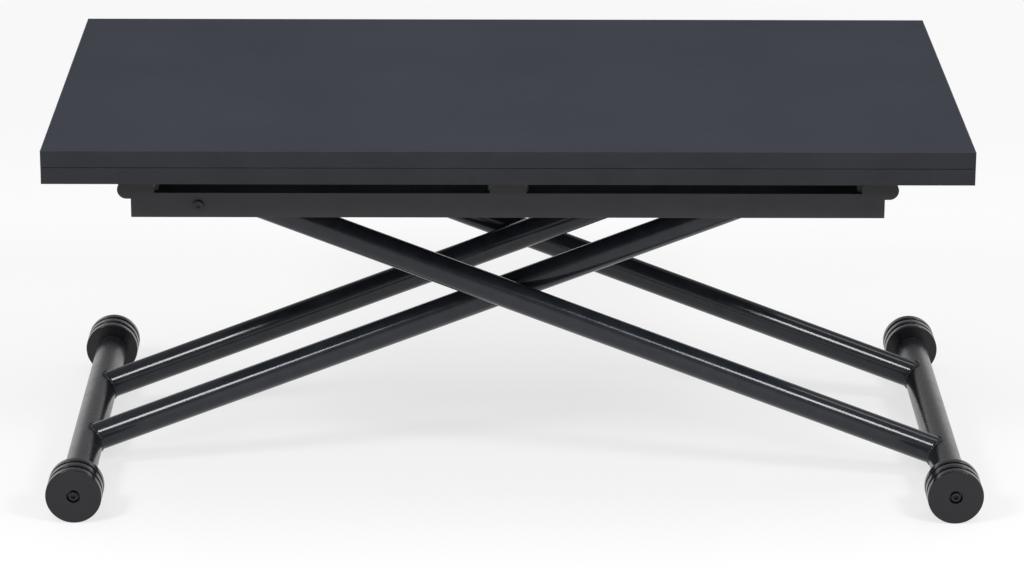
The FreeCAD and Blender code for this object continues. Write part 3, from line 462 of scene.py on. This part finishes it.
def make_leg_seams():
    """The beads of both leg sets: at the foot bar and at the sleeve of each leg."""
    crossing = middle_of("leg_pivot_pins")
    for leg_set, foot_name in (("outer", "right"), ("inner", "left")):
        bar = foot_name + "_foot_bar"
        sleeves = leg_set + "_leg_sleeves"
        foot = middle_of(bar)
        along = (crossing - foot).normalized()
        upright = Vector((-along.z, 0.0, along.x)) * (1.0 if along.x > 0 else -1.0)
        foot_beads = []
        sleeve_beads = []
        for end in ("front", "rear"):
            leg = leg_set + "_leg_" + end
            y = ACROSS * middle_of(leg).y
            radius = half_size(leg, 1)
            pivot = middle_of(sleeves)
            offset = (pivot - foot).dot(upright)
            foot_beads.append(seam_on_bar(foot + y, along, upright, radius, half_size(bar, 2)))
            sleeve_beads.append(seam_on_sleeve(pivot + y, along, upright, offset, radius,
                                               half_size(sleeves, 2)))
        body = leg_set + "_legs"
        bead_piece(leg_set + "_foot_weld_beads", foot_beads, FOOT_BEAD, True, body, "leg_paint")
        bead_piece(leg_set + "_sleeve_weld_beads", sleeve_beads, SLEEVE_BEAD, False, body,
                   "leg_paint")


def make_frame_seams():
    """A bead down both sides and under each end of every cross tube."""
    beads = []
    for third in ("left", "middle", "right"):
        low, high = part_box(third + "_cross_tube")
        corners = [(low.x, high.z), (low.x, low.z), (high.x, low.z), (high.x, high.z)]
        for y in (low.y, high.y):
            path = []
            for (x, z), (next_x, next_z) in zip(corners, corners[1:]):
                for step in range(FRAME_BEAD_STEPS):
                    share = (step + 0.5) / FRAME_BEAD_STEPS
                    path.append(Vector((x + (next_x - x) * share, y, z + (next_z - z) * share)))
            beads.append((path, Vector(((low.x + high.x) / 2, y, (low.z + high.z) / 2))))
    bead_piece("frame_weld_beads", beads, FRAME_BEAD, False, "frame", "frame_paint")


make_leg_seams()
make_frame_seams()

# Studio: a pale floor that keeps the shadow, an even surround and soft lamps

FLOOR_HALF = 40.0
FLOOR_COLOR = (0.9, 0.9, 0.9, 1.0)
SEEN_FLOOR_COLOR = (0.34, 0.34, 0.34, 1.0)
NEAR_FLOOR_GLOW = 0.69
FAR_FLOOR_GLOW = 0.93
GLOW_START = 1.5
GLOW_END = 6.0
WHITE = (1.0, 1.0, 1.0, 1.0)
BACKDROP_LEVEL = 1.0
SURROUND_LEVEL = 0.3
BACKDROP_TOP = math.sin(math.radians(11.0))
BACKDROP_END = math.sin(math.radians(16.0))
# Each lamp's name, place, target, two sides in metres and power in watts
LAMPS = (
    ("overhead", (0.0, 0.0, 3.2), (0.0, 0.0, 0.0), (3.2, 2.2), 32.0),
    ("overhead_right", (2.65, 1.3, 3.4), (2.65, 1.3, 0.0), (0.6, 1.0), 6.5),
    ("front_left", (-1.99, -2.01, 2.40), (0.0, 0.0, 0.25), (0.7, 0.7), 41.0),
    ("front_right", (2.01, -2.03, 2.39), (0.0, 0.0, 0.25), (0.7, 0.7), 41.0),
)


def matt_shader(tree, color):
    made = tree.nodes.new("ShaderNodeBsdfDiffuse")
    made.inputs["Color"].default_value = color
    return made.outputs["BSDF"]


def floor_material():
    """Matt. Seen by the camera or in a reflection it is nearly white and keeps its shadow,
    and far from the object it is as white as the backdrop."""
    material = bpy.data.materials.new("floor")
    material.use_nodes = True
    tree = material.node_tree
    tree.nodes.clear()
    output = tree.nodes.new("ShaderNodeOutputMaterial")
    reach = tree.nodes.new("ShaderNodeVectorMath")
    reach.operation = "LENGTH"
    tree.links.new(object_place(tree), reach.inputs[0])
    strength = spread(tree, reach.outputs["Value"], GLOW_START, GLOW_END,
                      NEAR_FLOOR_GLOW, FAR_FLOOR_GLOW)
    glow = tree.nodes.new("ShaderNodeEmission")
    tree.links.new(strength, glow.inputs["Strength"])
    both = tree.nodes.new("ShaderNodeAddShader")
    tree.links.new(matt_shader(tree, SEEN_FLOOR_COLOR), both.inputs[0])
    tree.links.new(glow.outputs["Emission"], both.inputs[1])
    rays = tree.nodes.new("ShaderNodeLightPath")
    seen = combine(tree, "MAXIMUM", rays.outputs["Is Camera Ray"],
                   rays.outputs["Is Transmission Ray"])
    seen = combine(tree, "MAXIMUM", seen, rays.outputs["Is Glossy Ray"])
    pick = tree.nodes.new("ShaderNodeMixShader")
    tree.links.new(seen, pick.inputs["Fac"])
    tree.links.new(matt_shader(tree, FLOOR_COLOR), pick.inputs[1])
    tree.links.new(both.outputs["Shader"], pick.inputs[2])
    tree.links.new(pick.outputs["Shader"], output.inputs["Surface"])
    return material


def make_floor():
    mesh = bpy.data.meshes.new("floor")
    corners = [(-FLOOR_HALF, -FLOOR_HALF, 0.0), (FLOOR_HALF, -FLOOR_HALF, 0.0),
               (FLOOR_HALF, FLOOR_HALF, 0.0), (-FLOOR_HALF, FLOOR_HALF, 0.0)]
    mesh.from_pydata(corners, [], [(0, 1, 2, 3)])
    floor = bpy.data.objects.new("floor", mesh)
    scene.collection.objects.link(floor)
    mesh.materials.append(floor_material())


def make_world():
    """An even dim surround above a low white backdrop. The camera sees it white all over."""
    world = bpy.data.worlds.new("surround")
    scene.world = world
    world.use_nodes = True
    tree = world.node_tree
    back = tree.nodes["Background"]
    back.inputs["Color"].default_value = WHITE
    source = tree.nodes.new("ShaderNodeTexCoord")
    split = tree.nodes.new("ShaderNodeSeparateXYZ")
    tree.links.new(source.outputs["Generated"], split.inputs["Vector"])
    backdrop = spread(tree, split.outputs["Z"], BACKDROP_TOP, BACKDROP_END,
                      BACKDROP_LEVEL, SURROUND_LEVEL)
    rays = tree.nodes.new("ShaderNodeLightPath")
    level = combine(tree, "MAXIMUM", rays.outputs["Is Camera Ray"], backdrop)
    tree.links.new(level, back.inputs["Strength"])


def make_lamp(name, place, target, sides, power):
    data = bpy.data.lights.new(name, "AREA")
    data.shape = "RECTANGLE"
    data.size, data.size_y = sides
    data.energy = power
    lamp = bpy.data.objects.new(name, data)
    lamp.location = place
    lamp.rotation_mode = "QUATERNION"
    lamp.rotation_quaternion = (Vector(target) - Vector(place)).to_track_quat("-Z", "Y")
    scene.collection.objects.link(lamp)


make_floor()
make_world()
for lamp_settings in LAMPS:
    make_lamp(*lamp_settings)
